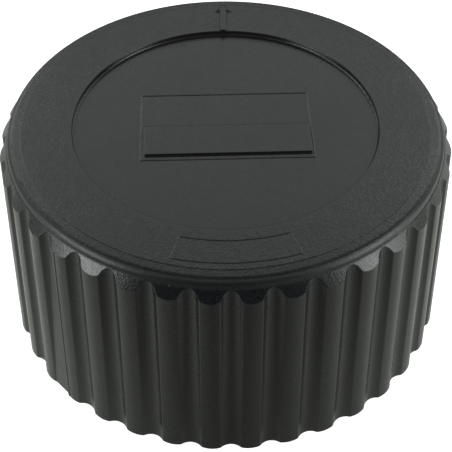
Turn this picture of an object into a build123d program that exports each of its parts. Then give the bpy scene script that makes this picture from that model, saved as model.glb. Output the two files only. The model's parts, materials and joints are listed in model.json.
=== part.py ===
from build123d import *
import os
from math import cos, radians, sin, sqrt, tan

os.makedirs("parts", exist_ok=True)

# Driving dimensions in millimetres and degrees.
# The origin is the centre of the cover's open rim, +Z points up, and the front is towards -Y.
# A bearing is an angle about +Z, counted from the front towards +X.

# Cover, outside
RIM_RADIUS = 45.0            # over the ribs at the open rim
COVER_HEIGHT = 43.75
SIDE_DRAFT = 2.77            # the ribbed side leans inwards by this angle
RIB_COUNT = 37
FIRST_RIB_BEARING = -3.56
CROWN_RADIUS = 5.2           # of a rib's gently rounded crest
CROWN_TURN = 18.0            # from the middle of the crest to its edge round
RIB_EDGE_ROUND = 0.7
FLUTE_DEPTH = 1.2            # at the rim
FLUTE_DEEPENING = 0.16       # from the rim up to the top
BLANK_FLUTE = 32             # this flute, counted from the first rib, is nearly filled at the rim
BLANK_DEPTH = 0.44           # of its filling below the crest circle, at the rim
BLANK_TOP_DEPTH = 1.45       # of its filling at the top
MOULD_LINE_PLACE = 0.85      # of the pitch, from the blank flute's first rib
MOULD_LINE_WIDTH = 0.25
CHAMFER_DROP = 3.92          # from the top down to where the chamfer meets the ribs
CHAMFER_WIDTH = 1.61         # from there in to the upright edge of the shoulder
PARTING_STEP = 0.1           # the chamfer stands proud of the shoulder by this
SHOULDER_UPRIGHT = 0.03
SHOULDER_ROUND = 1.5
SHOULDER_FALL = 0.15         # from the fine step out to the rounded edge
SHOULDER_WIDTH = 2.76        # from the upright edge in to the fine step
STEP_HEIGHT = 0.06
ANNULUS_WIDTH = 9.5          # from the fine step in to the recess
RECESS_DEPTH = 0.9
RECESS_WALL_LEAN = 0.15
RECESS_CORNER_ROUND = 0.25
RECESS_LINE_WIDTH = 0.22     # fine raised line round the recess

# Cover, raised details of the top
PANEL_TURN = 1.9             # the recess's details are turned by this angle
PANEL_WIDTH = 31.25
PANEL_DEPTH = 8.1
PANEL_HEIGHT = 0.42
PANEL_CORNER = 0.3
PANEL_X = 0.28
PANEL_Y = -4.68
FIELD_WIDTH = 32.46
FIELD_DEPTH = 19.23
FIELD_X = 0.07
FIELD_Y = -0.47
LINE_WIDTH = 0.18            # of the fine raised lines that frame the fields
LINE_HEIGHT = 0.08
BAND_FIRST_BEARING = -14.5
BAND_LAST_BEARING = 20.5
BAND_INNER_MARGIN = 2.65
BAND_OUTER_MARGIN = 1.4
ARROW_HEIGHT = 0.3
ARROW_LINE = 0.95
ARROW_X = -0.53
ARROW_ROOT = 0.3             # of the arrow in the flat top
ARROW_TIP_MARGIN = 0.16
ARROW_HEAD_LENGTH = 2.2
ARROW_HEAD_WIDTH = 2.6

# Cover, inside
SKIRT_WALL = 2.25            # behind the bottom of a flute
TOP_WALL = 2.5
CAVITY_ROUND = 1.2
BOSS_COUNT = 4
BOSS_RADIUS = 2.8
SPACER_COUNT = 12
SPACER_THICKNESS = 1.4
SPACER_HEIGHT = 9.0
SPACER_START = 0.8
PILOT_ROOM = 2.0             # the bosses' holes are this much deeper than the screws

# Fits
SEAT_GAP = 0.3               # a spacer stays this far from the carrier
EAR_GAP = 0.3                # an ear stays this far from the skirt
AIR_GAP = 3.15               # all round the carrier
AIR_WAY = 1.0                # between the collar and the support tube
SCREW_CLEARANCE = 0.05
GUIDE_CLEARANCE = 0.08       # vacuum stem in its guide, radial
PLUG_CLEARANCE = 0.1
ELEMENT_CLEARANCE = 0.4
PLEAT_CLEARANCE = 0.3
CAGE_CLEARANCE = 1.95        # under the element's top cap
DISC_SIDE_GAP = 2.2          # pressure valve in the cage's legs
SPRING_SIDE_GAP = 0.8
HUB_SIDE_GAP = 0.8

# Carrier
CARRIER_UNDERSIDE = 2.5
CARRIER_THICKNESS = 2.5
EAR_MARGIN = 0.2             # of an ear round its screw's head
MOUTH_HEIGHT = 1.0           # the collar's mouth above the rim plane
THREAD_RADIUS = 19.92        # crests of the internal thread, M42 x 2
THREAD_LENGTH = 10.0
THREAD_LEAD_IN = 0.8
COLLAR_WALL = 3.0
RELIEF_DEPTH = 1.28
RELIEF_ROOM = 0.4            # under the neck gasket
WEB_THICKNESS = 3.0
WEB_LEDGE = 3.42             # the web reaches in past the thread by this
LIP_WALL = 1.5
LIP_RISE = 1.0
CARRIER_RIB_COUNT = 16
CARRIER_RIB = 1.4
CARRIER_RIB_MARGIN = 1.0
SEAL_GROOVE = 0.6

# Gaskets, baffle and valve plate
GASKET_MARGIN = 0.5          # the neck gasket's bore is wider than the web's by this
GASKET_THICKNESS = 2.0
BAFFLE_RING_WALL = 1.3
BAFFLE_RING_DROP = 1.2
BAFFLE_RING_RISE = 2.4
BAFFLE_SHARE = 0.7           # of the web's bore
BAFFLE_THICKNESS = 1.2
BAFFLE_SPOKES = 6
BAFFLE_SPOKE = 2.0
PLATE_MARGIN = 1.08          # the valve plate is wider than the thread by this
PLATE_GASKET_THICKNESS = 0.6
PLATE_THICKNESS = 1.8
PLATE_BORE_SHARE = 0.755     # of the pressure valve
SEAT_RING_WALL = 1.2
SEAT_RING_HEIGHT = 0.8

# Valves and springs
PRESSURE_DISC_THICKNESS = 1.2
PRESSURE_SEAL_THICKNESS = 1.2
SEAL_BORE_SHARE = 0.472      # of the pressure valve
HUB_WALL = 0.92
HUB_HEIGHT = 2.0
VENT_COUNT = 6
VENT_RADIUS = 0.7
VENT_OFFSET = 0.4            # outside the vacuum spring's mean radius
SPRING_RIM_WALL = 0.8
SPRING_RIM_HEIGHT = 0.8
VACUUM_DISC_SHARE = 0.623    # of the pressure valve
VACUUM_DISC_THICKNESS = 1.2
STEM_RADIUS = 1.5
STEM_NECK_DEPTH = 0.5
STEM_ABOVE_CLIP = 0.8
CLIP_MARGIN = 0.6            # of the clip outside its spring
CLIP_THICKNESS = 0.8
CLIP_CLEARANCE = 0.05
VACUUM_SPRING_HEIGHT = 4.9
VACUUM_WIRE_RADIUS = 0.2
VACUUM_SPRING_TURNS = 4
PRESSURE_WIRE_RADIUS = 0.4
PRESSURE_SPRING_TURNS = 4

# Spring cage
CAGE_THICKNESS = 1.4
CAGE_FOOT_SHARE = 0.86       # of the web's bore
CAGE_LEAN = 3.4
CAGE_ARM_COUNT = 3
CAGE_ARM_WIDTH = 7.0

# Screws
CARRIER_SCREW_RADIUS = 1.5
CARRIER_SCREW_LENGTH = 12.0
CARRIER_HEAD_RADIUS = 2.7
CARRIER_HEAD_HEIGHT = 1.6
CAGE_SCREW_RADIUS = 1.1
CAGE_SCREW_LENGTH = 5.0
CAGE_HEAD_RADIUS = 2.1
CAGE_HEAD_HEIGHT = 1.2
SOCKET_SHARE = 0.5           # the drive socket, as a share of the head

# Filter element
PLEAT_COUNT = 48
PAPER_THICKNESS = 0.6
CAP_THICKNESS = 1.0
CAP_LIP = 1.6
CAP_LIP_WALL = 0.5
TUBE_WALL = 0.9
TUBE_CLEARANCE = 0.4
TUBE_SLOT_COLUMNS = 12
TUBE_SLOT_ROWS = 3
TUBE_SLOT_WIDTH = 6.0
TUBE_SLOT_HEIGHT = 5.6
ELEMENT_SEAL_SHARE = 0.35    # of the element's end face
ELEMENT_SEAL_THICKNESS = 1.8
CLAMP_MARGIN = 0.5           # inside the recess's radius
CLAMP_WIDTH = 5.0
CLAMP_THICKNESS = 2.4


def side_radius(height):
    """Radius over the ribs of the drafted side at a height."""
    return RIM_RADIUS - height * tan(radians(SIDE_DRAFT))


# Heights that follow from the sizes above
CARRIER_TOP = CARRIER_UNDERSIDE + CARRIER_THICKNESS
THREAD_TOP = MOUTH_HEIGHT + THREAD_LENGTH
WEB_UNDERSIDE = THREAD_TOP + RELIEF_ROOM + GASKET_THICKNESS
WEB_TOP = WEB_UNDERSIDE + WEB_THICKNESS
PLATE_UNDERSIDE = WEB_TOP + PLATE_GASKET_THICKNESS
PLATE_TOP = PLATE_UNDERSIDE + PLATE_THICKNESS
SEAT_HEIGHT = PLATE_TOP + SEAT_RING_HEIGHT
DISC_UNDERSIDE = SEAT_HEIGHT + PRESSURE_SEAL_THICKNESS
DISC_TOP = DISC_UNDERSIDE + PRESSURE_DISC_THICKNESS
CLIP_UNDERSIDE = DISC_TOP + VACUUM_SPRING_HEIGHT
CAGE_FOOT_TOP = PLATE_TOP + CAGE_THICKNESS
RECESS_FLOOR = COVER_HEIGHT - RECESS_DEPTH
CAVITY_CEILING = RECESS_FLOOR - TOP_WALL
ANNULUS_CEILING = COVER_HEIGHT - TOP_WALL
ELEMENT_BASE = CARRIER_TOP - SEAL_GROOVE + ELEMENT_SEAL_THICKNESS
ELEMENT_TOP = CAVITY_CEILING - CLAMP_THICKNESS
PAPER_BASE = ELEMENT_BASE + CAP_THICKNESS
PAPER_TOP = ELEMENT_TOP - CAP_THICKNESS
CAGE_TOP = PAPER_TOP - CAGE_CLEARANCE
CAGE_UNDERSIDE = CAGE_TOP - CAGE_THICKNESS
CHAMFER_RIB_HEIGHT = COVER_HEIGHT - CHAMFER_DROP
SHOULDER_TOP = COVER_HEIGHT - STEP_HEIGHT - SHOULDER_FALL
SHOULDER_FOOT = SHOULDER_TOP - SHOULDER_ROUND - SHOULDER_UPRIGHT

# Radii that follow from the sizes above
SHOULDER_RADIUS = side_radius(CHAMFER_RIB_HEIGHT) - CHAMFER_WIDTH
STEP_RADIUS = SHOULDER_RADIUS - SHOULDER_WIDTH
RECESS_RADIUS = STEP_RADIUS - ANNULUS_WIDTH
SKIRT_DEPTH = FLUTE_DEPTH + FLUTE_DEEPENING + SKIRT_WALL
CARRIER_ROOM = side_radius(CARRIER_TOP) - SKIRT_DEPTH
CARRIER_RADIUS = CARRIER_ROOM - AIR_GAP
EAR_RADIUS = CARRIER_HEAD_RADIUS + EAR_MARGIN
BOSS_CIRCLE_RADIUS = CARRIER_ROOM - EAR_GAP - EAR_RADIUS
CAP_RADIUS = BOSS_CIRCLE_RADIUS - BOSS_RADIUS - ELEMENT_CLEARANCE
COLLAR_RADIUS = THREAD_RADIUS + COLLAR_WALL
RELIEF_RADIUS = THREAD_RADIUS + RELIEF_DEPTH
WEB_BORE_RADIUS = THREAD_RADIUS - WEB_LEDGE
PLATE_RADIUS = THREAD_RADIUS + PLATE_MARGIN
TUBE_INNER_RADIUS = COLLAR_RADIUS + AIR_WAY
TUBE_OUTER_RADIUS = TUBE_INNER_RADIUS + TUBE_WALL
PLEAT_INNER_RADIUS = TUBE_OUTER_RADIUS + TUBE_CLEARANCE
PLEAT_OUTER_RADIUS = CAP_RADIUS - CAP_LIP_WALL - PLEAT_CLEARANCE
CAP_BORE_RADIUS = TUBE_INNER_RADIUS - CAP_LIP_WALL
ELEMENT_SEAL_RADIUS = (CAP_RADIUS + TUBE_INNER_RADIUS) / 2
ELEMENT_SEAL_HALF_WIDTH = ELEMENT_SEAL_SHARE * (CAP_RADIUS - TUBE_INNER_RADIUS) / 2
CAGE_SCREW_CIRCLE_RADIUS = (WEB_BORE_RADIUS + PLATE_RADIUS) / 2
CAGE_FOOT_RADIUS = WEB_BORE_RADIUS * CAGE_FOOT_SHARE
CAGE_TOP_RADIUS = CAGE_FOOT_RADIUS - CAGE_LEAN
PRESSURE_DISC_RADIUS = CAGE_FOOT_RADIUS - CAGE_THICKNESS - DISC_SIDE_GAP
PRESSURE_SPRING_RADIUS = CAGE_TOP_RADIUS - CAGE_THICKNESS - SPRING_SIDE_GAP - PRESSURE_WIRE_RADIUS
PLATE_BORE_RADIUS = PRESSURE_DISC_RADIUS * PLATE_BORE_SHARE
VACUUM_DISC_RADIUS = PRESSURE_DISC_RADIUS * VACUUM_DISC_SHARE
STEM_NECK_RADIUS = STEM_RADIUS - STEM_NECK_DEPTH
HUB_RADIUS = STEM_RADIUS + GUIDE_CLEARANCE + HUB_WALL
VACUUM_SPRING_RADIUS = HUB_RADIUS + HUB_SIDE_GAP + VACUUM_WIRE_RADIUS
CLIP_RADIUS = VACUUM_SPRING_RADIUS + VACUUM_WIRE_RADIUS + CLIP_MARGIN
RIB_PITCH = 360 / RIB_COUNT


def at(radius, bearing, height=0.0):
    """Point at a radius and a bearing."""
    angle = radians(bearing)
    return Vector(radius * sin(angle), -radius * cos(angle), height)


def around(shape, count, first=0.0):
    """Copies of a shape, evenly turned about the vertical axis."""
    copies = [Rot(0, 0, first + index * 360 / count) * shape for index in range(count)]
    return Compound(copies)


def spread(shape, count, first=0.0):
    """The same copies, as a list for cutting or fusing."""
    return [Rot(0, 0, first + index * 360 / count) * shape for index in range(count)]


def turned(points, rounds=()):
    """Solid of revolution from a section of radius and height, with some corners rounded."""
    section = make_face(Polyline(*points, close=True))
    for corner, radius in rounds:
        vertex = section.vertices().sort_by_distance((corner[0], corner[1], 0))[0]
        section = fillet(vertex, radius)
    return revolve(Plane.XZ * section, Axis.Z)


def ring(inner_radius, outer_radius, low, high):
    """Flat-ended tube about the vertical axis."""
    return Pos(0, 0, low) * extrude(Circle(outer_radius) - Circle(inner_radius), high - low)


def disc(radius, low, high):
    """Plain disc about the vertical axis."""
    return Pos(0, 0, low) * extrude(Circle(radius), high - low)


def bar(inner_radius, outer_radius, width, low, high):
    """Upright block that points to the right, from one radius to another."""
    length = outer_radius - inner_radius
    middle = (inner_radius + outer_radius) / 2
    return Pos(middle, 0, (low + high) / 2) * Box(length, width, high - low)


def edge_arc(start, end, centre):
    """Arc of a rib's rounded edge from one point to another."""
    outward = (start + end) / 2 - centre
    return ThreePointArc(start, centre + outward.normalized() * RIB_EDGE_ROUND, end)


def fluted_outline(crest_radius, height):
    """Closed outline at a height: crowned ribs with rounded edges, and hollow flutes between them."""
    depth = FLUTE_DEPTH + FLUTE_DEEPENING * height / COVER_HEIGHT
    crown_circle = crest_radius - CROWN_RADIUS
    to_edge = CROWN_RADIUS - RIB_EDGE_ROUND
    edges = []
    for index in range(RIB_COUNT):
        rib = FIRST_RIB_BEARING + index * RIB_PITCH
        next_rib = rib + RIB_PITCH
        crown_centre = at(crown_circle, rib, height)
        next_crown_centre = at(crown_circle, next_rib, height)
        crown_start = crown_centre + at(CROWN_RADIUS, rib - CROWN_TURN)
        crown_end = crown_centre + at(CROWN_RADIUS, rib + CROWN_TURN)
        next_crown = next_crown_centre + at(CROWN_RADIUS, next_rib - CROWN_TURN)
        first_centre = crown_centre + at(to_edge, rib + CROWN_TURN)
        last_centre = next_crown_centre + at(to_edge, next_rib - CROWN_TURN)
        outward = at(1, rib + RIB_PITCH / 2)
        bottom = at(crest_radius - depth, rib + RIB_PITCH / 2, height)
        offset = bottom - first_centre
        reach = offset.dot(outward)
        arc = (offset.dot(offset) - RIB_EDGE_ROUND**2) / (2 * (RIB_EDGE_ROUND - reach))
        arc_centre = bottom + outward * arc
        edge_share = RIB_EDGE_ROUND / (RIB_EDGE_ROUND + arc)
        flute_start = first_centre + (arc_centre - first_centre) * edge_share
        flute_end = last_centre + (arc_centre - last_centre) * edge_share
        edges.append(ThreePointArc(crown_start, at(crest_radius, rib, height), crown_end))
        edges.append(edge_arc(crown_end, flute_start, first_centre))
        edges.append(ThreePointArc(flute_start, bottom, flute_end))
        edges.append(edge_arc(flute_end, next_crown, last_centre))
    return Wire(edges)


def side_blade(foot_drop, top_drop, width, place):
    """Upright blade in the blank flute's pitch, its edge below the crest circle by a drop at each end."""
    root = side_radius(COVER_HEIGHT) - SKIRT_DEPTH
    points = [
        (root, 0),
        (side_radius(0) - foot_drop, 0),
        (side_radius(COVER_HEIGHT) - top_drop, COVER_HEIGHT),
        (root, COVER_HEIGHT),
    ]
    blade = extrude(Plane.XZ * make_face(Polyline(*points, close=True)), width)
    bearing = FIRST_RIB_BEARING + (BLANK_FLUTE + place) * RIB_PITCH
    return Rot(0, 0, bearing - 90) * Pos(0, width / 2, 0) * blade


def cover_envelope():
    """Turned body that gives the top, the shoulder and the chamfer."""
    wide = RIM_RADIUS + FLUTE_DEPTH
    slope = (SHOULDER_FOOT - CHAMFER_RIB_HEIGHT) / (CHAMFER_WIDTH - PARTING_STEP)
    chamfer_foot = CHAMFER_RIB_HEIGHT - (wide - side_radius(CHAMFER_RIB_HEIGHT)) * slope
    line_radius = RECESS_RADIUS + RECESS_LINE_WIDTH
    line_top = COVER_HEIGHT + LINE_HEIGHT
    shoulder_corner = (SHOULDER_RADIUS, SHOULDER_TOP)
    floor_corner = (RECESS_RADIUS - RECESS_WALL_LEAN, RECESS_FLOOR)
    points = [
        (0, 0),
        (wide, 0),
        (wide, chamfer_foot),
        (SHOULDER_RADIUS + PARTING_STEP, SHOULDER_FOOT),
        (SHOULDER_RADIUS, SHOULDER_FOOT),
        shoulder_corner,
        (STEP_RADIUS, COVER_HEIGHT - STEP_HEIGHT),
        (STEP_RADIUS, COVER_HEIGHT),
        (line_radius, COVER_HEIGHT),
        (line_radius, line_top),
        (RECESS_RADIUS, line_top),
        floor_corner,
        (0, RECESS_FLOOR),
    ]
    return turned(points, [(shoulder_corner, SHOULDER_ROUND), (floor_corner, RECESS_CORNER_ROUND)])


def cover_cavity():
    """Hollow of the cover, with an even wall behind the recess and the annulus."""
    ceiling_step = RECESS_RADIUS + TOP_WALL
    high_corner = (side_radius(ANNULUS_CEILING) - SKIRT_DEPTH, ANNULUS_CEILING)
    points = [
        (0, 0),
        (side_radius(0) - SKIRT_DEPTH, 0),
        high_corner,
        (ceiling_step, ANNULUS_CEILING),
        (ceiling_step, CAVITY_CEILING),
        (0, CAVITY_CEILING),
    ]
    return turned(points, [(high_corner, CAVITY_ROUND)])


def cover_inner_features():
    """Screw bosses against the skirt, and the spacers that keep the air gap even."""
    boss_height = ANNULUS_CEILING - CARRIER_TOP
    boss = Pos(BOSS_CIRCLE_RADIUS, 0, CARRIER_TOP + boss_height / 2) * Cylinder(BOSS_RADIUS, boss_height)
    root = bar(BOSS_CIRCLE_RADIUS, RIM_RADIUS, 2 * BOSS_RADIUS, CARRIER_TOP, ANNULUS_CEILING)
    pilot_radius = CARRIER_SCREW_RADIUS + SCREW_CLEARANCE
    pilot_depth = CARRIER_SCREW_LENGTH - CARRIER_THICKNESS + PILOT_ROOM
    pilot = Pos(BOSS_CIRCLE_RADIUS, 0, CARRIER_TOP + pilot_depth / 2) * Cylinder(pilot_radius, pilot_depth)
    bosses = spread(boss + root - pilot, BOSS_COUNT, 180 / BOSS_COUNT)
    spacer = bar(CARRIER_RADIUS + SEAT_GAP, RIM_RADIUS, SPACER_THICKNESS, SPACER_START, SPACER_HEIGHT)
    ear_room = Pos(BOSS_CIRCLE_RADIUS, 0, CARRIER_TOP / 2) * Cylinder(EAR_RADIUS + SEAT_GAP, CARRIER_TOP)
    spacers = Compound(spread(spacer, SPACER_COUNT)) - spread(ear_room, BOSS_COUNT, 180 / BOSS_COUNT)
    return bosses + spacers.solids()


def top_field():
    """Fine raised line all round the field in the recessed disc."""
    inner = Rectangle(FIELD_WIDTH - 2 * LINE_WIDTH, FIELD_DEPTH - 2 * LINE_WIDTH)
    line = extrude(Rectangle(FIELD_WIDTH, FIELD_DEPTH) - inner, LINE_HEIGHT)
    return Rot(0, 0, PANEL_TURN) * Pos(FIELD_X, FIELD_Y, RECESS_FLOOR) * line


def top_panel():
    """Plain raised panel in the near half of the field."""
    outline = RectangleRounded(PANEL_WIDTH, PANEL_DEPTH, PANEL_CORNER)
    panel = Pos(PANEL_X, PANEL_Y, RECESS_FLOOR) * extrude(outline, PANEL_HEIGHT)
    return Rot(0, 0, PANEL_TURN) * panel


def band_sector(inner, outer, margin):
    """Sector of the flat top's near side, its straight ends drawn in by a margin."""
    reach = 2 * outer
    half_angle = radians(BAND_LAST_BEARING - BAND_FIRST_BEARING) / 2
    tip = at(margin / sin(half_angle), (BAND_FIRST_BEARING + BAND_LAST_BEARING) / 2)
    far_left = tip + at(reach, BAND_FIRST_BEARING)
    far_right = tip + at(reach, BAND_LAST_BEARING)
    wedge = make_face(Polyline(tip, far_left, far_right, close=True))
    return (Circle(outer) - Circle(inner)) & wedge


def top_band():
    """Fine raised line all round a field on the near side of the flat top."""
    inner = RECESS_RADIUS + BAND_INNER_MARGIN
    outer = STEP_RADIUS - BAND_OUTER_MARGIN
    line = band_sector(inner, outer, 0) - band_sector(inner + LINE_WIDTH, outer - LINE_WIDTH, LINE_WIDTH)
    return Pos(0, 0, COVER_HEIGHT) * extrude(line, LINE_HEIGHT)


def top_arrow():
    """Plain raised arrow on the far side of the flat top, from the recess to the fine step."""
    tip = STEP_RADIUS - ARROW_TIP_MARGIN
    neck = tip - ARROW_HEAD_LENGTH
    half_line = ARROW_LINE / 2
    half_head = ARROW_HEAD_WIDTH / 2
    points = [
        (-half_line, 0),
        (half_line, 0),
        (half_line, neck),
        (half_head, neck),
        (0, tip),
        (-half_head, neck),
        (-half_line, neck),
    ]
    outline = Pos(ARROW_X, 0) * make_face(Polyline(*points, close=True)) - Circle(RECESS_RADIUS)
    return Pos(0, 0, COVER_HEIGHT - ARROW_ROOT) * extrude(outline, ARROW_ROOT + ARROW_HEIGHT)


def make_cover():
    """Fluted cover, moulded in one piece."""
    bottom = fluted_outline(side_radius(0), 0)
    top = fluted_outline(side_radius(COVER_HEIGHT), COVER_HEIGHT)
    fluted = Solid.make_loft([bottom, top], ruled=True)
    filling = side_blade(BLANK_DEPTH, BLANK_TOP_DEPTH, RIM_RADIUS * radians(RIB_PITCH), 0.5)
    mould_line = side_blade(0, 0, MOULD_LINE_WIDTH, MOULD_LINE_PLACE)
    body = cover_envelope() & (fluted + filling + mould_line)
    body += top_field()
    body += top_panel()
    body += top_band()
    body += top_arrow()
    hollow = cover_cavity() - cover_inner_features()
    return body - hollow


def make_carrier():
    """Base disc with the threaded collar, the web that carries the valves, ears and ribs."""
    lip_inner = PLATE_RADIUS + PLUG_CLEARANCE
    lip_top = PLATE_TOP + LIP_RISE
    groove_inner = ELEMENT_SEAL_RADIUS - ELEMENT_SEAL_HALF_WIDTH - PLUG_CLEARANCE
    groove_outer = ELEMENT_SEAL_RADIUS + ELEMENT_SEAL_HALF_WIDTH + PLUG_CLEARANCE
    points = [
        (THREAD_RADIUS + THREAD_LEAD_IN, MOUTH_HEIGHT),
        (COLLAR_RADIUS, MOUTH_HEIGHT),
        (COLLAR_RADIUS, CARRIER_UNDERSIDE),
        (CARRIER_RADIUS, CARRIER_UNDERSIDE),
        (CARRIER_RADIUS, CARRIER_TOP),
        (groove_outer, CARRIER_TOP),
        (groove_outer, CARRIER_TOP - SEAL_GROOVE),
        (groove_inner, CARRIER_TOP - SEAL_GROOVE),
        (groove_inner, CARRIER_TOP),
        (COLLAR_RADIUS, CARRIER_TOP),
        (COLLAR_RADIUS, WEB_TOP),
        (lip_inner + LIP_WALL, WEB_TOP),
        (lip_inner + LIP_WALL, lip_top),
        (lip_inner, lip_top),
        (lip_inner, WEB_TOP),
        (WEB_BORE_RADIUS, WEB_TOP),
        (WEB_BORE_RADIUS, WEB_UNDERSIDE),
        (RELIEF_RADIUS, WEB_UNDERSIDE),
        (RELIEF_RADIUS, THREAD_TOP),
        (THREAD_RADIUS, THREAD_TOP),
        (THREAD_RADIUS, MOUTH_HEIGHT + THREAD_LEAD_IN),
    ]
    body = turned(points)
    ear_middle = (CARRIER_UNDERSIDE + CARRIER_TOP) / 2
    ear = Pos(BOSS_CIRCLE_RADIUS, 0, ear_middle) * Cylinder(EAR_RADIUS, CARRIER_THICKNESS)
    hole_radius = CARRIER_SCREW_RADIUS + SCREW_CLEARANCE
    hole = Pos(BOSS_CIRCLE_RADIUS, 0, ear_middle) * Cylinder(hole_radius, CARRIER_THICKNESS)
    head_room_height = CARRIER_UNDERSIDE - MOUTH_HEIGHT
    head_room_middle = (CARRIER_UNDERSIDE + MOUTH_HEIGHT) / 2
    head_room = Pos(BOSS_CIRCLE_RADIUS, 0, head_room_middle) * Cylinder(EAR_RADIUS, head_room_height)
    rib_inner = COLLAR_RADIUS - COLLAR_WALL / 2
    rib_outer = CARRIER_RADIUS - CARRIER_RIB_MARGIN
    rib = bar(rib_inner, rib_outer, CARRIER_RIB, MOUTH_HEIGHT, CARRIER_UNDERSIDE)
    body += spread(ear, BOSS_COUNT, 180 / BOSS_COUNT)
    body += spread(rib, CARRIER_RIB_COUNT, 180 / CARRIER_RIB_COUNT)
    body -= spread(hole, BOSS_COUNT, 180 / BOSS_COUNT)
    body -= spread(head_room, BOSS_COUNT, 180 / BOSS_COUNT)
    return body - cage_screw_holes(CAGE_FOOT_TOP - CAGE_SCREW_LENGTH, WEB_TOP)


def make_screw(shank_radius, length, head_radius, head_height):
    """Pan-head screw pointing down, its head resting on the origin plane, with a hexagon socket."""
    shank = Pos(0, 0, -length / 2) * Cylinder(shank_radius, length)
    head = turned(
        [(0, 0), (head_radius, 0), (head_radius, head_height), (0, head_height)],
        [((head_radius, head_height), head_height * SOCKET_SHARE)],
    )
    socket_depth = head_height * SOCKET_SHARE
    socket = Pos(0, 0, head_height - socket_depth) * extrude(
        RegularPolygon(head_radius * SOCKET_SHARE, 6), socket_depth
    )
    return head + shank - socket


def make_carrier_screws():
    """Screws that hold the carrier to the bosses, from below."""
    screw = make_screw(
        CARRIER_SCREW_RADIUS, CARRIER_SCREW_LENGTH, CARRIER_HEAD_RADIUS, CARRIER_HEAD_HEIGHT
    )
    placed = Pos(BOSS_CIRCLE_RADIUS, 0, CARRIER_UNDERSIDE) * Rot(180, 0, 0) * screw
    return around(placed, BOSS_COUNT, 180 / BOSS_COUNT)


def make_neck_gasket():
    """Flat ring under the web, against which the tank neck seals."""
    inner = WEB_BORE_RADIUS + GASKET_MARGIN
    return ring(inner, RELIEF_RADIUS - PLUG_CLEARANCE, WEB_UNDERSIDE - GASKET_THICKNESS, WEB_UNDERSIDE)


def make_splash_guard():
    """Baffle disc on spokes, in a ring that plugs into the web's bore."""
    outer = WEB_BORE_RADIUS - PLUG_CLEARANCE
    inner = outer - BAFFLE_RING_WALL
    low = WEB_UNDERSIDE - BAFFLE_RING_DROP
    guard = ring(inner, outer, low, WEB_UNDERSIDE + BAFFLE_RING_RISE)
    baffle_radius = WEB_BORE_RADIUS * BAFFLE_SHARE
    guard += disc(baffle_radius, low, low + BAFFLE_THICKNESS)
    spoke_start = baffle_radius - BAFFLE_THICKNESS
    spoke_end = inner + BAFFLE_RING_WALL / 2
    spoke = bar(spoke_start, spoke_end, BAFFLE_SPOKE, low, low + BAFFLE_THICKNESS)
    return guard + spread(spoke, BAFFLE_SPOKES)


def cage_screw_holes(low, high):
    """Clearance holes for the cage screws between two heights."""
    hole_radius = CAGE_SCREW_RADIUS + SCREW_CLEARANCE
    hole = Pos(CAGE_SCREW_CIRCLE_RADIUS, 0, (low + high) / 2) * Cylinder(hole_radius, high - low)
    return spread(hole, CAGE_ARM_COUNT)


def make_plate_gasket():
    """Flat gasket between the web and the valve plate."""
    gasket = ring(WEB_BORE_RADIUS, PLATE_RADIUS, WEB_TOP, PLATE_UNDERSIDE)
    return gasket - cage_screw_holes(WEB_TOP, PLATE_UNDERSIDE)


def make_valve_plate():
    """Plate with a raised ring as the seat of the pressure valve."""
    plate = ring(PLATE_BORE_RADIUS, PLATE_RADIUS, PLATE_UNDERSIDE, PLATE_TOP)
    plate += ring(PLATE_BORE_RADIUS, PLATE_BORE_RADIUS + SEAT_RING_WALL, PLATE_TOP, SEAT_HEIGHT)
    return plate - cage_screw_holes(PLATE_UNDERSIDE, PLATE_TOP)


def make_spring_cage():
    """Three-legged bridge pressed from sheet, over the pressure spring."""
    drop = CAGE_THICKNESS
    outer_foot = PLATE_RADIUS - PLUG_CLEARANCE
    points = [
        (0, CAGE_UNDERSIDE),
        (CAGE_TOP_RADIUS - drop, CAGE_UNDERSIDE),
        (CAGE_FOOT_RADIUS - drop, CAGE_FOOT_TOP - drop),
        (outer_foot, CAGE_FOOT_TOP - drop),
        (outer_foot, CAGE_FOOT_TOP),
        (CAGE_FOOT_RADIUS, CAGE_FOOT_TOP),
        (CAGE_TOP_RADIUS, CAGE_TOP),
        (0, CAGE_TOP),
    ]
    shell = turned(points)
    arm = bar(0, PLATE_RADIUS, CAGE_ARM_WIDTH, PLATE_TOP, CAGE_TOP)
    hub = disc(CAGE_TOP_RADIUS - drop, CAGE_UNDERSIDE, CAGE_TOP)
    mask = hub + spread(arm, CAGE_ARM_COUNT)
    stem_hole = disc(CLIP_RADIUS + SEAT_GAP, CAGE_UNDERSIDE, CAGE_TOP)
    return (shell & mask) - stem_hole - cage_screw_holes(PLATE_TOP, CAGE_FOOT_TOP)


def make_cage_screws():
    """Screws through the cage's feet into the web."""
    screw = make_screw(CAGE_SCREW_RADIUS, CAGE_SCREW_LENGTH, CAGE_HEAD_RADIUS, CAGE_HEAD_HEIGHT)
    placed = Pos(CAGE_SCREW_CIRCLE_RADIUS, 0, CAGE_FOOT_TOP) * screw
    return around(placed, CAGE_ARM_COUNT)


def make_pressure_valve():
    """Disc with a guide hub, vent holes and a low rim that centres the spring."""
    rim_inner = PRESSURE_SPRING_RADIUS + PRESSURE_WIRE_RADIUS + PLUG_CLEARANCE
    valve = disc(PRESSURE_DISC_RADIUS, DISC_UNDERSIDE, DISC_TOP)
    valve += ring(rim_inner, rim_inner + SPRING_RIM_WALL, DISC_TOP, DISC_TOP + SPRING_RIM_HEIGHT)
    valve += disc(HUB_RADIUS, DISC_TOP, DISC_TOP + HUB_HEIGHT)
    valve -= disc(STEM_RADIUS + GUIDE_CLEARANCE, DISC_UNDERSIDE, DISC_TOP + HUB_HEIGHT)
    vent_middle = (DISC_UNDERSIDE + DISC_TOP) / 2
    vent_circle = VACUUM_SPRING_RADIUS + VENT_OFFSET
    vent = Pos(vent_circle, 0, vent_middle) * Cylinder(VENT_RADIUS, PRESSURE_DISC_THICKNESS)
    return valve - spread(vent, VENT_COUNT)


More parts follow.
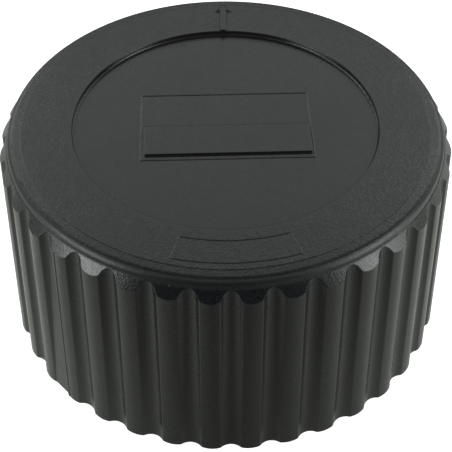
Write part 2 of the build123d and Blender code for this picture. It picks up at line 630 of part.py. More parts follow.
def make_pressure_seal():
    """Rubber ring that closes on the plate's seat, and on which the vacuum valve closes."""
    bore_radius = PRESSURE_DISC_RADIUS * SEAL_BORE_SHARE
    return ring(bore_radius, PRESSURE_DISC_RADIUS, SEAT_HEIGHT, DISC_UNDERSIDE)


def make_spring(mean_radius, wire_radius, turns, low, high):
    """Open coil spring between two seats."""
    height = high - low - 2 * wire_radius
    path = Pos(0, 0, low + wire_radius) * Helix(height / turns, height, mean_radius)
    start = path @ 0
    section = Plane(origin=start, z_dir=path % 0) * Circle(wire_radius)
    return sweep(section, path, is_frenet=True)


def make_pressure_spring():
    """Spring that holds the pressure valve shut."""
    return make_spring(
        PRESSURE_SPRING_RADIUS, PRESSURE_WIRE_RADIUS, PRESSURE_SPRING_TURNS, DISC_TOP, CAGE_UNDERSIDE
    )


def make_vacuum_valve():
    """Disc under the seal, with a stem up through the guide hub."""
    valve = disc(VACUUM_DISC_RADIUS, SEAT_HEIGHT - VACUUM_DISC_THICKNESS, SEAT_HEIGHT)
    stem_top = CLIP_UNDERSIDE + CLIP_THICKNESS + STEM_ABOVE_CLIP
    valve += disc(STEM_RADIUS, SEAT_HEIGHT, stem_top)
    groove = ring(STEM_NECK_RADIUS, 2 * STEM_RADIUS, CLIP_UNDERSIDE, CLIP_UNDERSIDE + CLIP_THICKNESS)
    return valve - groove


def make_vacuum_spring():
    """Light spring that holds the vacuum valve shut."""
    return make_spring(
        VACUUM_SPRING_RADIUS, VACUUM_WIRE_RADIUS, VACUUM_SPRING_TURNS, DISC_TOP, CLIP_UNDERSIDE
    )


def make_stem_clip():
    """Slotted clip in the stem's groove, the upper seat of the light spring."""
    bore_radius = STEM_NECK_RADIUS + CLIP_CLEARANCE
    clip = ring(bore_radius, CLIP_RADIUS, CLIP_UNDERSIDE, CLIP_UNDERSIDE + CLIP_THICKNESS)
    slot = bar(0, CLIP_RADIUS, 2 * bore_radius, CLIP_UNDERSIDE, CLIP_UNDERSIDE + CLIP_THICKNESS)
    return clip - slot


def make_filter_paper():
    """Pleated band: a zigzag wall of even thickness."""
    half_wall = PAPER_THICKNESS / 2
    steps = 2 * PLEAT_COUNT

    def zigzag(shift):
        radii = (PLEAT_OUTER_RADIUS + shift, PLEAT_INNER_RADIUS + shift)
        return make_face(Polyline(*[at(radii[i % 2], i * 360 / steps) for i in range(steps)], close=True))

    depth = PLEAT_OUTER_RADIUS - PLEAT_INNER_RADIUS
    half_pitch = PLEAT_INNER_RADIUS * radians(360 / steps)
    slant = half_wall * sqrt(depth**2 + half_pitch**2) / half_pitch
    band = zigzag(slant) - zigzag(-slant)
    limit = Circle(PLEAT_OUTER_RADIUS) - Circle(PLEAT_INNER_RADIUS - half_wall)
    return Pos(0, 0, PAPER_BASE) * extrude(band & limit, PAPER_TOP - PAPER_BASE)


def make_support_tube():
    """Slotted tube that keeps the pleats from falling in."""
    tube = ring(TUBE_INNER_RADIUS, TUBE_OUTER_RADIUS, PAPER_BASE, PAPER_TOP)
    row_pitch = (PAPER_TOP - PAPER_BASE) / TUBE_SLOT_ROWS
    for row in range(TUBE_SLOT_ROWS):
        middle = PAPER_BASE + (row + 0.5) * row_pitch
        low = middle - TUBE_SLOT_HEIGHT / 2
        slot_start = TUBE_INNER_RADIUS - 2 * TUBE_WALL
        slot = bar(slot_start, TUBE_OUTER_RADIUS + TUBE_WALL, TUBE_SLOT_WIDTH, low, low + TUBE_SLOT_HEIGHT)
        tube -= spread(slot, TUBE_SLOT_COLUMNS)
    return tube


def cap_lips(low, high):
    """Inner and outer lip of an end cap."""
    outer = ring(CAP_RADIUS - CAP_LIP_WALL, CAP_RADIUS, low, high)
    return outer + ring(CAP_BORE_RADIUS, TUBE_INNER_RADIUS, low, high)


def make_element_bottom_cap():
    """Ring-shaped end cap, open in the middle for the clean air."""
    cap = ring(CAP_BORE_RADIUS, CAP_RADIUS, ELEMENT_BASE, PAPER_BASE)
    return cap + cap_lips(ELEMENT_BASE, PAPER_BASE + CAP_LIP)


def make_element_top_cap():
    """Closed end cap."""
    cap = disc(CAP_RADIUS, PAPER_TOP, ELEMENT_TOP)
    return cap + cap_lips(PAPER_TOP - CAP_LIP, ELEMENT_TOP)


def make_element_seal():
    """Ring that seals the element on the carrier."""
    inner = ELEMENT_SEAL_RADIUS - ELEMENT_SEAL_HALF_WIDTH
    outer = ELEMENT_SEAL_RADIUS + ELEMENT_SEAL_HALF_WIDTH
    return ring(inner, outer, CARRIER_TOP - SEAL_GROOVE, ELEMENT_BASE)


def make_clamp_ring():
    """Elastic ring through which the cover presses the element down."""
    outer = RECESS_RADIUS - CLAMP_MARGIN
    return ring(outer - CLAMP_WIDTH, outer, ELEMENT_TOP, CAVITY_CEILING)


NODES = {
    "cover": make_cover,
    "carrier": make_carrier,
    "carrier_screws": make_carrier_screws,
    "neck_gasket": make_neck_gasket,
    "splash_guard": make_splash_guard,
    "plate_gasket": make_plate_gasket,
    "valve_plate": make_valve_plate,
    "spring_cage": make_spring_cage,
    "cage_screws": make_cage_screws,
    "pressure_valve": make_pressure_valve,
    "pressure_seal": make_pressure_seal,
    "pressure_spring": make_pressure_spring,
    "vacuum_valve": make_vacuum_valve,
    "vacuum_spring": make_vacuum_spring,
    "stem_clip": make_stem_clip,
    "filter_paper": make_filter_paper,
    "support_tube": make_support_tube,
    "element_bottom_cap": make_element_bottom_cap,
    "element_top_cap": make_element_top_cap,
    "element_seal": make_element_seal,
    "clamp_ring": make_clamp_ring,
}

for name, make in NODES.items():
    export_step(make(), f"parts/{name}.step")
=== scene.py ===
import json
from math import cos, pi, radians, sin, tan

import bpy
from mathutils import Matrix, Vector


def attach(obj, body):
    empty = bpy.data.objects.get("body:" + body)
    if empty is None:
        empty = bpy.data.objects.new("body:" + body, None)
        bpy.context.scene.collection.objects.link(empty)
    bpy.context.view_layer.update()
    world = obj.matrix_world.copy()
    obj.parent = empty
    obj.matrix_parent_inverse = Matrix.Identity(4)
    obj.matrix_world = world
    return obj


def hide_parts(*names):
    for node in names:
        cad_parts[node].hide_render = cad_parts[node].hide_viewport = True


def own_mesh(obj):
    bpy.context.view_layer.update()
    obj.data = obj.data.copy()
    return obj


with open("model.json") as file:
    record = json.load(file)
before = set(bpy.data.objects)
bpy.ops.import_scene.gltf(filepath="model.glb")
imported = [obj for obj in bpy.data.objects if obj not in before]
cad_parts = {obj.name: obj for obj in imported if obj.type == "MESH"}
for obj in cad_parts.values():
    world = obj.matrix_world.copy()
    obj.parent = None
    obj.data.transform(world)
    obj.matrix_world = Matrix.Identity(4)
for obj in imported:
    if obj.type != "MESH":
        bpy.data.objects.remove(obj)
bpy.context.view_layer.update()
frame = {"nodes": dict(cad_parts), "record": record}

MM = 0.001
UP = Vector((0, 0, 1))

# Camera, in metres, in the frame of the model
CAMERA_PLACE = (0.0, -0.1595, 0.1736)
CAMERA_TARGET = (0, 0, 0)
CAMERA_LENS = 85.376
CAMERA_SENSOR = 36.0
CAMERA_SHIFT_X = 0.0009
CAMERA_SHIFT_Y = 0.1113
CAMERA_CLIP_START = 0.01
CAMERA_CLIP_END = 50.0

# Lamps, in degrees as seen from the part: bearing from the front towards +X, elevation,
# half width, half height; then the radiance
LAMP_DISTANCE = 0.7
LAMP_TARGET = Vector((0, 0, 0.03))
LAMP_TINT = (0.96, 1.0, 0.98)
LAMPS = {
    "back_low": (180, 26, 25, 10, 0.68),
    "back_high": (180, 45, 25, 10, 0.95),
    "back_top": (180, 64, 25, 10, 0.3),
    "front_high": (0, 54, 28, 14, 0.6),
    "left_front": (-60, 14, 9, 13, 6.5),
    "left_low": (-75, 4, 11, 8, 1.3),
    "left_middle": (-75, 21, 11, 9, 4.5),
    "left_high": (-75, 41, 11, 11, 1.3),
    "left_back_middle": (-118, 21, 11, 9, 1.4),
    "left_back_high": (-118, 41, 11, 11, 1.3),
    "left_rear_middle": (-142, 21, 11, 9, 2.0),
    "left_rear_high": (-142, 41, 11, 11, 1.35),
    "right_front": (61, 13, 8, 13, 4.0),
    "right_low": (75, 4, 11, 8, 3.3),
    "right_middle": (75, 21, 11, 9, 5.6),
    "right_high": (75, 41, 11, 11, 3.1),
    "right_back_middle": (118, 21, 11, 9, 1.5),
    "right_rear_middle": (142, 21, 11, 9, 2.0),
    "right_rear_high": (142, 41, 11, 11, 1.5),
}
WORLD_STRENGTH = 0.04

# Floor. Its glow, which only reflections see, is a table: bearing in degrees, glow close to
# the part, glow farther away
FLOOR_HALF = 3.0
FLOOR_SHADE = (0.8, 0.8, 0.8)
FLOOR_GLOW = (
    (-180, 0.3, 0.3), (-135, 0.5, 0.67), (-90, 0.83, 1.07), (-45, 0.67, 0.18), (0, 0.23, 0.03),
    (45, 0.57, 0.6), (90, 0.8, 1.54), (135, 0.5, 0.6), (180, 0.3, 0.3),
)
FLOOR_GLOW_CLOSE = 1
FLOOR_GLOW_AWAY = 2
FLOOR_GLOW_PEAK = 4.0
FLOOR_GLOW_CHANGE = (0.08, 0.14)
FLOOR_TINT = (0.95, 1.0, 0.92)
# White that the floor adds for the camera, close to the part and far away, and the
# distances between which it grows
FLOOR_SEEN = (0.85, 1.0)
FLOOR_SEEN_CHANGE = (0.15, 0.6)

BLACK = (0.0, 0.0, 0.0)
WHITE = (1.0, 1.0, 1.0, 1.0)

# Noises of the materials: scale, detail, roughness
BROAD = (60.0, 3.0)
CLOUDY = (420.0, 3.0)
MOULD_COARSE = (1900.0, 2.0, 0.6)
MOULD_FINE = (5200.0, 1.0)
COVER_COARSE = (1500.0, 2.0, 0.6)
COVER_FINE = (3600.0, 1.0)
COVER_STREAKS = (1400.0, 2.0)
METAL_PATCHES = (350.0, 3.0)
PAPER_FIBRES = (3800.0, 4.0, 0.7)
PAPER_BLOTCHES = (240.0, 2.0)
# Range that holds most of a noise's values
NOISE_RANGE = (0.3, 0.7)
CLOUDY_RANGE = (0.35, 0.65)

# Looks that all moulded pieces share
CLOUDY_DEPTH = 0.012 * MM
CLOUDY_STRENGTH = 0.5
SPECK_SCALE = 640.0
SPECK_RADIUS = 0.1
SPECK_CORE = 0.5

# Looks of the moulded pieces under the cover
MOULD_SPECK = (0.3, 0.3, 0.29)
MOULD_GLOSS_BROAD = 0.04
MOULD_GLOSS_COARSE = 0.04
MOULD_EDGE = 0.12 * MM
MOULD_EDGE_SAMPLES = 4
MOULD_FINE_SHARE = 0.4

# Looks of the cover
COVER_DARK = (0.0055, 0.0058, 0.0056)
COVER_LIGHT = (0.0092, 0.0098, 0.0094)
COVER_RING_DARK = (0.0020, 0.0022, 0.0026)
COVER_RING_LIGHT = (0.0112, 0.0120, 0.0138)
COVER_SPECK = (0.12, 0.12, 0.117)
COVER_SPECK_SHARE = 0.03
COVER_ROUGHNESS = 0.3
COVER_GLOSS_BROAD = 0.03
COVER_GLOSS_MOTTLE = 0.04
COVER_EDGE = 0.22 * MM
COVER_EDGE_SAMPLES = 8
COVER_STREAK_STRETCH = (0.25, 0.25, 1.6)
# Shares of the noises in the mottle, and the range of their sum
MOTTLE_COARSE = 1.2
MOTTLE_FINE = 1.3
MOTTLE_CLOUDY = 0.4
MOTTLE_STREAKS = 0.5
MOTTLE_RANGE = (1.35, 2.05)
# Depths of the grain: on the disc and the side, then on the ring
COVER_COARSE_DEPTH = (0.016 * MM, 0.055 * MM)
COVER_FINE_DEPTH = (0.002 * MM, 0.045 * MM)
# The shoulder is smoother than the ring, and its gloss changes with height
SHOULDER_WEAR = 0.6
SHOULDER_ROUGHNESS = (-0.04, 0.1)
SHOULDER_ROUGHNESS_HEIGHTS = (41.6 * MM, 42.4 * MM)
# Where the looks change: from disc to ring, from side to top, from shoulder to flat ring
RING_START = 29.5 * MM
RING_BLEND = 1.0 * MM
TOP_HEIGHTS = (38.5 * MM, 40.0 * MM)
FLAT_HEIGHTS = (43.3 * MM, 43.6 * MM)

# Looks of the metal pieces and the paper
METAL_GLOSS = 0.08
METAL_BUMP = 0.8
PAPER_DARK = (0.62, 0.5, 0.3)
PAPER_LIGHT = (0.74, 0.64, 0.43)
PAPER_FIBRE = (0.86, 0.8, 0.64)
PAPER_FIBRE_RANGE = (0.5, 0.75)
PAPER_FIBRE_SHARE = 0.35
PAPER_STRETCH = (1.0, 1.0, 0.25)
PAPER_ROUGHNESS = (0.8, 0.95)
PAPER_DEPTH = 0.03 * MM
PAPER_BUMP = 0.9

# Arrow on the ring, whose upper edges and outline follow the solid
RECESS_RADIUS = 29.2 * MM
ARROW_X = -0.53 * MM
ARROW_TIP = 38.54 * MM
ARROW_HEAD_LENGTH = 2.2 * MM
ARROW_HEAD_WIDTH = 2.6 * MM
ARROW_LINE = 0.95 * MM
ARROW_SPREAD = 0.4 * MM
ARROW_LOW = 43.67 * MM
ARROW_HIGH = 44.04 * MM

# Ridge of the neck's thread, on the solid's bore; the shares are of its pitch and of its depth
THREAD_RADIUS = 19.92 * MM
THREAD_DEPTH = 0.3 * MM
THREAD_PITCH = 2.0 * MM
THREAD_LOW = 2.2 * MM
THREAD_HIGH = 10.6 * MM
THREAD_STEPS = 72
THREAD_ROOT_SHARE = 0.32
THREAD_CREST_SHARE = 0.1
THREAD_SUNK_SHARE = 0.3

# Springs, whose sizes and travels follow the solids and the joints
PRESSURE_SPRING = {
    "radius": 8.19 * MM, "wire": 0.4 * MM, "turns": 4, "low": 22.0 * MM, "high": 33.6 * MM,
}
VACUUM_SPRING = {
    "radius": 3.5 * MM, "wire": 0.2 * MM, "turns": 4, "low": 22.0 * MM, "high": 26.9 * MM,
}
CLOSED_TURNS = 2
SPRING_STEPS = 40
WIRE_SIDES = 10


def look_at(place, target):
    """Rotation of an object at a place so that its -Z points at a target."""
    return (Vector(target) - Vector(place)).to_track_quat("-Z", "Y").to_euler()


def make_camera():
    """Camera at the photograph's viewing angle."""
    data = bpy.data.cameras.new("camera")
    data.lens = CAMERA_LENS
    data.sensor_width = CAMERA_SENSOR
    data.shift_x = CAMERA_SHIFT_X
    data.shift_y = CAMERA_SHIFT_Y
    data.clip_start = CAMERA_CLIP_START
    data.clip_end = CAMERA_CLIP_END
    camera = bpy.data.objects.new("camera", data)
    camera.location = CAMERA_PLACE
    camera.rotation_euler = look_at(CAMERA_PLACE, CAMERA_TARGET)
    bpy.context.collection.objects.link(camera)
    bpy.context.scene.camera = camera


def make_panel_light(name, bearing, elevation, half_width, half_height, radiance):
    """Soft box that faces the part, placed and sized by angles as the part sees it."""
    around = radians(bearing)
    rise = radians(elevation)
    towards = Vector((sin(around) * cos(rise), -cos(around) * cos(rise), sin(rise)))
    place = towards * LAMP_DISTANCE + LAMP_TARGET
    width = 2 * LAMP_DISTANCE * tan(radians(half_width))
    height = 2 * LAMP_DISTANCE * tan(radians(half_height))
    data = bpy.data.lights.new(name, "AREA")
    data.shape = "RECTANGLE"
    data.size = width
    data.size_y = height
    data.energy = radiance * pi * width * height
    data.color = LAMP_TINT
    lamp = bpy.data.objects.new(name, data)
    lamp.location = place
    lamp.rotation_euler = look_at(place, LAMP_TARGET)
    lamp.visible_camera = False
    bpy.context.collection.objects.link(lamp)


class Nodes:
    """Short calls to build a node tree."""

    # Sockets of the mix node that blends colours
    MIX_FACTOR = 0
    MIX_FIRST = 6
    MIX_SECOND = 7
    MIX_RESULT = 2

    def __init__(self, tree):
        self.tree = tree
        tree.nodes.clear()

    def feed(self, socket, value):
        """Links a value that is a socket, and sets any other."""
        if isinstance(value, bpy.types.NodeSocket):
            self.tree.links.new(value, socket)
        else:
            socket.default_value = value

    def add(self, kind, inputs=None, **settings):
        node = self.tree.nodes.new(kind)
        for key, value in settings.items():
            setattr(node, key, value)
        for key, value in (inputs or {}).items():
            self.feed(node.inputs[key], value)
        return node

    def coords(self):
        return self.add("ShaderNodeTexCoord").outputs["Object"]

    def length(self, vector):
        found = self.add("ShaderNodeVectorMath", {0: vector}, operation="LENGTH")
        return found.outputs["Value"]

    def noise(self, coords, scale, detail=2.0, roughness=0.5):
        found = self.add(
            "ShaderNodeTexNoise",
            {"Vector": coords, "Scale": scale, "Detail": detail, "Roughness": roughness},
        )
        return found.outputs["Fac"]

    def span(self, value, low, high, to_low=0.0, to_high=1.0):
        """Maps the range from low to high on another one, and holds the value inside it."""
        found = self.add(
            "ShaderNodeMapRange",
            {
                "Value": value, "From Min": low, "From Max": high,
                "To Min": to_low, "To Max": to_high,
            },
        )
        return found.outputs["Result"]

    def mix(self, factor, first, second):
        """Blends two colours, each a socket or red, green and blue."""
        found = self.add("ShaderNodeMix", {self.MIX_FACTOR: factor}, data_type="RGBA")
        for index, colour in ((self.MIX_FIRST, first), (self.MIX_SECOND, second)):
            if isinstance(colour, tuple):
                colour = (*colour, 1.0)
            self.feed(found.inputs[index], colour)
        return found.outputs[self.MIX_RESULT]

    def math(self, operation, first, second):
        return self.add("ShaderNodeMath", {0: first, 1: second}, operation=operation).outputs[0]

    def soft_edges(self, radius, samples):
        return self.add("ShaderNodeBevel", {"Radius": radius}, samples=samples).outputs["Normal"]

    def bump(self, height, distance, strength, normal=None):
        inputs = {"Height": height, "Distance": distance, "Strength": strength}
        if normal is not None:
            inputs["Normal"] = normal
        return self.add("ShaderNodeBump", inputs).outputs["Normal"]


def new_material(name):
    """Empty material with its node builder."""
    material = bpy.data.materials.new(name)
    material.use_nodes = True
    return material, Nodes(material.node_tree)


def finish_material(nodes, **sockets):
    """Puts a principled shader at the end of a tree."""
    shader = nodes.add("ShaderNodeBsdfPrincipled", sockets)
    nodes.add("ShaderNodeOutputMaterial", {"Surface": shader.outputs["BSDF"]})


def specks(nodes, coords, share):
    """1 in small round dots at a share of the cells of a random pattern, else 0."""
    cells = nodes.add(
        "ShaderNodeTexVoronoi", {"Vector": coords, "Scale": SPECK_SCALE},
        voronoi_dimensions="3D", feature="F1",
    )
    chosen = nodes.add("ShaderNodeSeparateColor", {"Color": cells.outputs["Color"]})
    lucky = nodes.math("LESS_THAN", chosen.outputs["Red"], share)
    core = SPECK_RADIUS * SPECK_CORE
    near = nodes.span(cells.outputs["Distance"], core, SPECK_RADIUS, 1.0, 0.0)
    return nodes.math("MULTIPLY", lucky, near)


def moulded_plastic(name, dark, light, roughness, grain, dust):
    """Moulded plastic or rubber: fine grain, uneven gloss and a little dust."""
    material, nodes = new_material(name)
    coords = nodes.coords()
    broad = nodes.noise(coords, *BROAD)
    cloudy = nodes.noise(coords, *CLOUDY)
    coarse = nodes.noise(coords, *MOULD_COARSE)
    fine = nodes.noise(coords, *MOULD_FINE)

    tone = nodes.mix(nodes.span(cloudy, *CLOUDY_RANGE), dark, light)
    dots = nodes.math("MULTIPLY", specks(nodes, coords, dust), fine)
    colour = nodes.mix(dots, tone, MOULD_SPECK)

    smooth = roughness - MOULD_GLOSS_BROAD
    rough = roughness + MOULD_GLOSS_BROAD
    gloss = nodes.math(
        "ADD",
        nodes.span(broad, *NOISE_RANGE, smooth, rough),
        nodes.span(coarse, *NOISE_RANGE, -MOULD_GLOSS_COARSE, MOULD_GLOSS_COARSE),
    )
    normal = nodes.soft_edges(MOULD_EDGE, MOULD_EDGE_SAMPLES)
    normal = nodes.bump(cloudy, CLOUDY_DEPTH, CLOUDY_STRENGTH, normal)
    normal = nodes.bump(coarse, grain * MM, 1.0, normal)
    normal = nodes.bump(fine, MOULD_FINE_SHARE * grain * MM, 1.0, normal)
    finish_material(nodes, **{"Base Color": colour, "Roughness": gloss, "Normal": normal})
    return material


def cover_plastic(name):
    """Glass-filled nylon: satin in the disc, coarser and scuffed on the ring and the shoulder."""
    material, nodes = new_material(name)
    coords = nodes.coords()
    x, y, height = nodes.add("ShaderNodeSeparateXYZ", {0: coords}).outputs
    flat = nodes.add("ShaderNodeCombineXYZ", {"X": x, "Y": y}).outputs[0]
    outside = nodes.span(nodes.length(flat), RING_START, RING_START + RING_BLEND)
    ring = nodes.math("MULTIPLY", outside, nodes.span(height, *TOP_HEIGHTS))
    shoulder = nodes.math("MULTIPLY", ring, nodes.span(height, *FLAT_HEIGHTS, 1.0, 0.0))

    broad = nodes.noise(coords, *BROAD)
    cloudy = nodes.noise(coords, *CLOUDY)
    coarse = nodes.noise(coords, *COVER_COARSE)
    fine = nodes.noise(coords, *COVER_FINE)
    lying = nodes.add("ShaderNodeMapping", {"Vector": coords, "Scale": COVER_STREAK_STRETCH})
    streaks = nodes.noise(lying.outputs[0], *COVER_STREAKS)

    mottle = nodes.math("MULTIPLY", coarse, MOTTLE_COARSE)
    for noise, share in (
        (fine, MOTTLE_FINE), (cloudy, MOTTLE_CLOUDY), (streaks, MOTTLE_STREAKS),
    ):
        mottle = nodes.math("ADD", mottle, nodes.math("MULTIPLY", noise, share))
    mottle = nodes.span(mottle, *MOTTLE_RANGE)

    disc_tone = nodes.mix(mottle, COVER_DARK, COVER_LIGHT)
    ring_tone = nodes.mix(mottle, COVER_RING_DARK, COVER_RING_LIGHT)
    dots = nodes.math("MULTIPLY", specks(nodes, coords, COVER_SPECK_SHARE), fine)
    colour = nodes.mix(dots, nodes.mix(ring, disc_tone, ring_tone), COVER_SPECK)

    smooth = COVER_ROUGHNESS - COVER_GLOSS_BROAD
    rough = COVER_ROUGHNESS + COVER_GLOSS_BROAD
    gloss = nodes.math(
        "ADD",
        nodes.span(broad, *NOISE_RANGE, smooth, rough),
        nodes.span(mottle, 0.0, 1.0, COVER_GLOSS_MOTTLE, -COVER_GLOSS_MOTTLE),
    )
    climb = nodes.span(height, *SHOULDER_ROUGHNESS_HEIGHTS, *SHOULDER_ROUGHNESS)
    gloss = nodes.math("ADD", gloss, nodes.math("MULTIPLY", shoulder, climb))

    normal = nodes.soft_edges(COVER_EDGE, COVER_EDGE_SAMPLES)
    normal = nodes.bump(cloudy, CLOUDY_DEPTH, CLOUDY_STRENGTH, normal)
    worn = nodes.math("SUBTRACT", ring, nodes.math("MULTIPLY", shoulder, SHOULDER_WEAR))
    coarse_depth = nodes.span(worn, 0.0, 1.0, *COVER_COARSE_DEPTH)
    normal = nodes.bump(coarse, coarse_depth, 1.0, normal)
    fine_depth = nodes.span(worn, 0.0, 1.0, *COVER_FINE_DEPTH)
    normal = nodes.bump(fine, fine_depth, 1.0, normal)
    finish_material(nodes, **{"Base Color": colour, "Roughness": gloss, "Normal": normal})
    return material


def metal(name, colour, tint, roughness, grain_scale, grain):
    """Plated steel with a fine uneven finish."""
    material, nodes = new_material(name)
    coords = nodes.coords()
    patches = nodes.noise(coords, *METAL_PATCHES)
    tone = nodes.mix(patches, colour, tint)
    smooth = roughness - METAL_GLOSS
    rough = roughness + METAL_GLOSS
    gloss = nodes.span(patches, *NOISE_RANGE, smooth, rough)
    normal = nodes.bump(nodes.noise(coords, grain_scale), grain * MM, METAL_BUMP)
    finish_material(
        nodes, **{"Base Color": tone, "Metallic": 1.0, "Roughness": gloss, "Normal": normal}
    )
    return material


def paper(name):
    """Resin-stiffened filter paper with fibres."""
    material, nodes = new_material(name)
    coords = nodes.coords()
    stretched = nodes.add("ShaderNodeMapping", {"Vector": coords, "Scale": PAPER_STRETCH})
    fibres = nodes.noise(stretched.outputs[0], *PAPER_FIBRES)
    tone = nodes.mix(nodes.noise(coords, *PAPER_BLOTCHES), PAPER_DARK, PAPER_LIGHT)
    threads = nodes.span(fibres, *PAPER_FIBRE_RANGE, 0.0, PAPER_FIBRE_SHARE)
    tone = nodes.mix(threads, tone, PAPER_FIBRE)
    gloss = nodes.span(fibres, *NOISE_RANGE, *PAPER_ROUGHNESS)
    normal = nodes.bump(fibres, PAPER_DEPTH, PAPER_BUMP)
    finish_material(nodes, **{"Base Color": tone, "Roughness": gloss, "Normal": normal})
    return material


# One material for each slot of the record; grain is the depth of the bump in mm
MATERIALS = {
    "cover_plastic": cover_plastic("cover"),
    "carrier_plastic": moulded_plastic(
        "carrier", dark=(0.011, 0.011, 0.011), light=(0.016, 0.016, 0.016),
        roughness=0.52, grain=0.03, dust=0.02,
    ),
    "valve_plastic": moulded_plastic(
        "acetal", dark=(0.66, 0.65, 0.6), light=(0.72, 0.71, 0.66),
        roughness=0.32, grain=0.006, dust=0.0,
    ),
    "tube_plastic": moulded_plastic(
        "tube", dark=(0.5, 0.5, 0.48), light=(0.6, 0.6, 0.57),
        roughness=0.45, grain=0.01, dust=0.0,
    ),
    "cap_plastic": moulded_plastic(
        "cap", dark=(0.03, 0.03, 0.032), light=(0.045, 0.045, 0.047),
        roughness=0.55, grain=0.02, dust=0.0,
    ),
    "rubber": moulded_plastic(
        "rubber", dark=(0.012, 0.012, 0.012), light=(0.018, 0.018, 0.018),
        roughness=0.72, grain=0.03, dust=0.03,
    ),
    "filter_paper": paper("paper"),
    "sheet_steel": metal(
        "sheet", colour=(0.6, 0.6, 0.6), tint=(0.5, 0.51, 0.53),
        roughness=0.32, grain_scale=1500.0, grain=0.01,
    ),
    "spring_steel": metal(
        "wire", colour=(0.52, 0.52, 0.52), tint=(0.42, 0.42, 0.44),
        roughness=0.3, grain_scale=4000.0, grain=0.006,
    ),
    "screw_steel": metal(
        "zinc", colour=(0.62, 0.62, 0.6), tint=(0.5, 0.52, 0.55),
        roughness=0.36, grain_scale=2500.0, grain=0.008,
    ),
}


def dress_nodes():
    """Gives every solid the material of its slot."""
    for part in frame["record"]["subparts"]:
        solid = frame["nodes"][part["node"]]
        material = MATERIALS[part["material_slot"]]
        if not solid.material_slots:
            solid.data.materials.append(material)
        for place in solid.material_slots:
            place.material = material


def new_piece(name, vertices, faces, slot, smooth):
    """Mesh piece with the material of a slot."""
    mesh = bpy.data.meshes.new(name)
    mesh.from_pydata(vertices, [], faces)
    mesh.polygons.foreach_set("use_smooth", [smooth] * len(mesh.polygons))
    mesh.materials.append(MATERIALS[slot])
    piece = bpy.data.objects.new(name, mesh)
    bpy.context.collection.objects.link(piece)
    return piece


def swept(path, outwards, section):
    """Vertices and faces of a section swept along points, with flat faces at its two ends."""
    count = len(section)
    vertices = []
    for point, outward in zip(path, outwards):
        vertices += [tuple(point + outward * u + UP * v) for u, v in section]
    faces = []
    for row in range(len(path) - 1):
        low = row * count
        for column in range(count):
            after = (column + 1) % count
            faces.append((low + column, low + after, low + count + after, low + count + column))
    faces.append(tuple(reversed(range(count))))
    last = (len(path) - 1) * count
    faces.append(tuple(last + column for column in range(count)))
    return vertices, faces


def make_spring(name, sizes, body, node):
    """Coil spring with a closed turn at each end."""
    wire = sizes["wire"]
    pitch = 2 * wire
    low = sizes["low"] + wire
    high = sizes["high"] - wire
    open_turns = sizes["turns"]
    turns = open_turns + CLOSED_TURNS
    path = []
    outwards = []
    for index in range(turns * SPRING_STEPS + 1):
        turn = index / SPRING_STEPS
        angle = 2 * pi * turn
        active = min(max(turn - 1, 0), open_turns) / open_turns
        closed = min(turn, 1) + max(turn - (turns - 1), 0)
        height = low + pitch * closed + (high - low - 2 * pitch) * active
        outward = Vector((cos(angle), sin(angle), 0))
        path.append(outward * sizes["radius"] + Vector((0, 0, height)))
        outwards.append(outward)
    corners = [2 * pi * index / WIRE_SIDES for index in range(WIRE_SIDES)]
    section = [(wire * cos(angle), wire * sin(angle)) for angle in corners]
    piece = new_piece(name, *swept(path, outwards, section), "spring_steel", smooth=True)
    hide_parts(node)
    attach(piece, body)
    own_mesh(piece)


def make_thread():
    """Ridge of the neck thread, wound up the inside of the collar."""
    turns = (THREAD_HIGH - THREAD_LOW) / THREAD_PITCH
    path = []
    outwards = []
    for index in range(int(turns * THREAD_STEPS) + 1):
        angle = 2 * pi * index / THREAD_STEPS
        outward = Vector((cos(angle), sin(angle), 0))
        height = THREAD_LOW + THREAD_PITCH * index / THREAD_STEPS
        path.append(outward * THREAD_RADIUS + Vector((0, 0, height)))
        outwards.append(outward)
    root = THREAD_ROOT_SHARE * THREAD_PITCH
    crest = THREAD_CREST_SHARE * THREAD_PITCH
    sunk = THREAD_DEPTH * THREAD_SUNK_SHARE
    section = [(sunk, -root), (sunk, root), (-THREAD_DEPTH, crest), (-THREAD_DEPTH, -crest)]
    ridge = swept(path, outwards, section)
    piece = new_piece("neck_thread_ridge", *ridge, "carrier_plastic", smooth=False)
    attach(piece, "housing")


def widened(outline, spread):
    """Outline, given anticlockwise, with each side moved outwards."""
    moved = []
    earlier = outline[-1:] + outline[:-1]
    later = outline[1:] + outline[:1]
    for before, here, after in zip(earlier, outline, later):
        first = (Vector(here) - Vector(before)).normalized()
        second = (Vector(after) - Vector(here)).normalized()
        outward = Vector((first.y + second.y, -first.x - second.x))
        moved.append(Vector(here) + outward * spread / (1 + first.dot(second)))
    return moved


def make_arrow_draft():
    """Sloping sides of the raised arrow, from the flat ring to just under its upper edges."""
    neck = ARROW_TIP - ARROW_HEAD_LENGTH
    root = RECESS_RADIUS + ARROW_SPREAD
    half_line = ARROW_LINE / 2
    half_head = ARROW_HEAD_WIDTH / 2
    outline = [
        (-half_line, root), (half_line, root), (half_line, neck), (half_head, neck),
        (0.0, ARROW_TIP), (-half_head, neck), (-half_line, neck),
    ]
    count = len(outline)
    low = [(ARROW_X + x, y, ARROW_LOW) for x, y in widened(outline, ARROW_SPREAD)]
    high = [(ARROW_X + x, y, ARROW_HIGH) for x, y in outline]
    sides = [(i, (i + 1) % count, count + (i + 1) % count, count + i) for i in range(count)]
    ends = [tuple(reversed(range(count))), tuple(range(count, 2 * count))]
    piece = new_piece("arrow_draft", low + high, sides + ends, "cover_plastic", smooth=False)
    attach(piece, "housing")


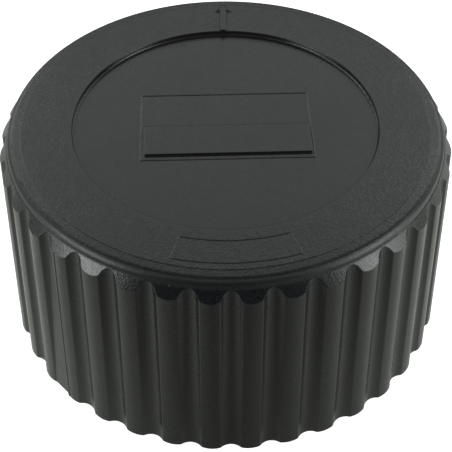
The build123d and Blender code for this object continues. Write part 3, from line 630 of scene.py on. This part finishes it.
def glow_ramp(nodes, bearing, column):
    """Glow of the floor by bearing, from one column of its table."""
    ramp = nodes.add("ShaderNodeValToRGB", {"Fac": nodes.span(bearing, -pi, pi)})
    stops = ramp.color_ramp.elements
    while len(stops) < len(FLOOR_GLOW):
        stops.new(0.5)
    for stop, row in zip(stops, FLOOR_GLOW):
        stop.position = (row[0] + 180) / 360
        stop.color = (*[row[column] / FLOOR_GLOW_PEAK * part for part in FLOOR_TINT], 1.0)
    return ramp.outputs["Color"]


def make_floor():
    """Plain pale floor that keeps the part's shadow, and glows by its table in reflections."""
    mesh = bpy.data.meshes.new("floor")
    half = FLOOR_HALF
    corners = [(-half, -half, 0), (half, -half, 0), (half, half, 0), (-half, half, 0)]
    mesh.from_pydata(corners, [], [(0, 1, 2, 3)])
    floor = bpy.data.objects.new("floor", mesh)
    bpy.context.collection.objects.link(floor)
    material, nodes = new_material("floor")
    path = nodes.add("ShaderNodeLightPath")
    bounced = nodes.math(
        "ADD", path.outputs["Is Glossy Ray"], path.outputs["Is Transmission Ray"]
    )
    shade = nodes.mix(bounced, FLOOR_SHADE, BLACK)
    plain = nodes.add("ShaderNodeBsdfDiffuse", {"Color": shade})

    coords = nodes.coords()
    parts = nodes.add("ShaderNodeSeparateXYZ", {0: coords})
    front = nodes.math("MULTIPLY", parts.outputs["Y"], -1.0)
    bearing = nodes.math("ARCTAN2", parts.outputs["X"], front)
    away = nodes.length(coords)
    glow = nodes.mix(
        nodes.span(away, *FLOOR_GLOW_CHANGE),
        glow_ramp(nodes, bearing, FLOOR_GLOW_CLOSE),
        glow_ramp(nodes, bearing, FLOOR_GLOW_AWAY),
    )
    strength = nodes.math("MULTIPLY", bounced, FLOOR_GLOW_PEAK)
    glossy = nodes.add("ShaderNodeEmission", {"Color": glow, "Strength": strength})

    pale = nodes.span(away, *FLOOR_SEEN_CHANGE, *FLOOR_SEEN)
    seen = nodes.math("MULTIPLY", path.outputs["Is Camera Ray"], pale)
    white = nodes.add("ShaderNodeEmission", {"Color": WHITE, "Strength": seen})
    both = nodes.add("ShaderNodeAddShader", {0: plain.outputs[0], 1: white.outputs[0]})
    every = nodes.add("ShaderNodeAddShader", {0: both.outputs[0], 1: glossy.outputs[0]})
    nodes.add("ShaderNodeOutputMaterial", {"Surface": every.outputs[0]})
    mesh.materials.append(material)


def make_world():
    """White to the camera, and a dim even light otherwise."""
    world = bpy.data.worlds.new("world")
    bpy.context.scene.world = world
    world.use_nodes = True
    nodes = Nodes(world.node_tree)
    path = nodes.add("ShaderNodeLightPath")
    strength = nodes.span(path.outputs["Is Camera Ray"], 0.0, 1.0, WORLD_STRENGTH, 1.0)
    back = nodes.add("ShaderNodeBackground", {"Color": WHITE, "Strength": strength})
    nodes.add("ShaderNodeOutputWorld", {"Surface": back.outputs[0]})


make_camera()
make_world()
make_floor()
for lamp_name, lamp in LAMPS.items():
    make_panel_light(lamp_name, *lamp)
dress_nodes()
make_arrow_draft()
make_thread()
make_spring(
    "pressure_coil", PRESSURE_SPRING,
    body="housing", node="pressure_spring",
)
make_spring(
    "vacuum_coil", VACUUM_SPRING,
    body="pressure_poppet", node="vacuum_spring",
)

scene = bpy.context.scene
scene.view_settings.view_transform = "Standard"
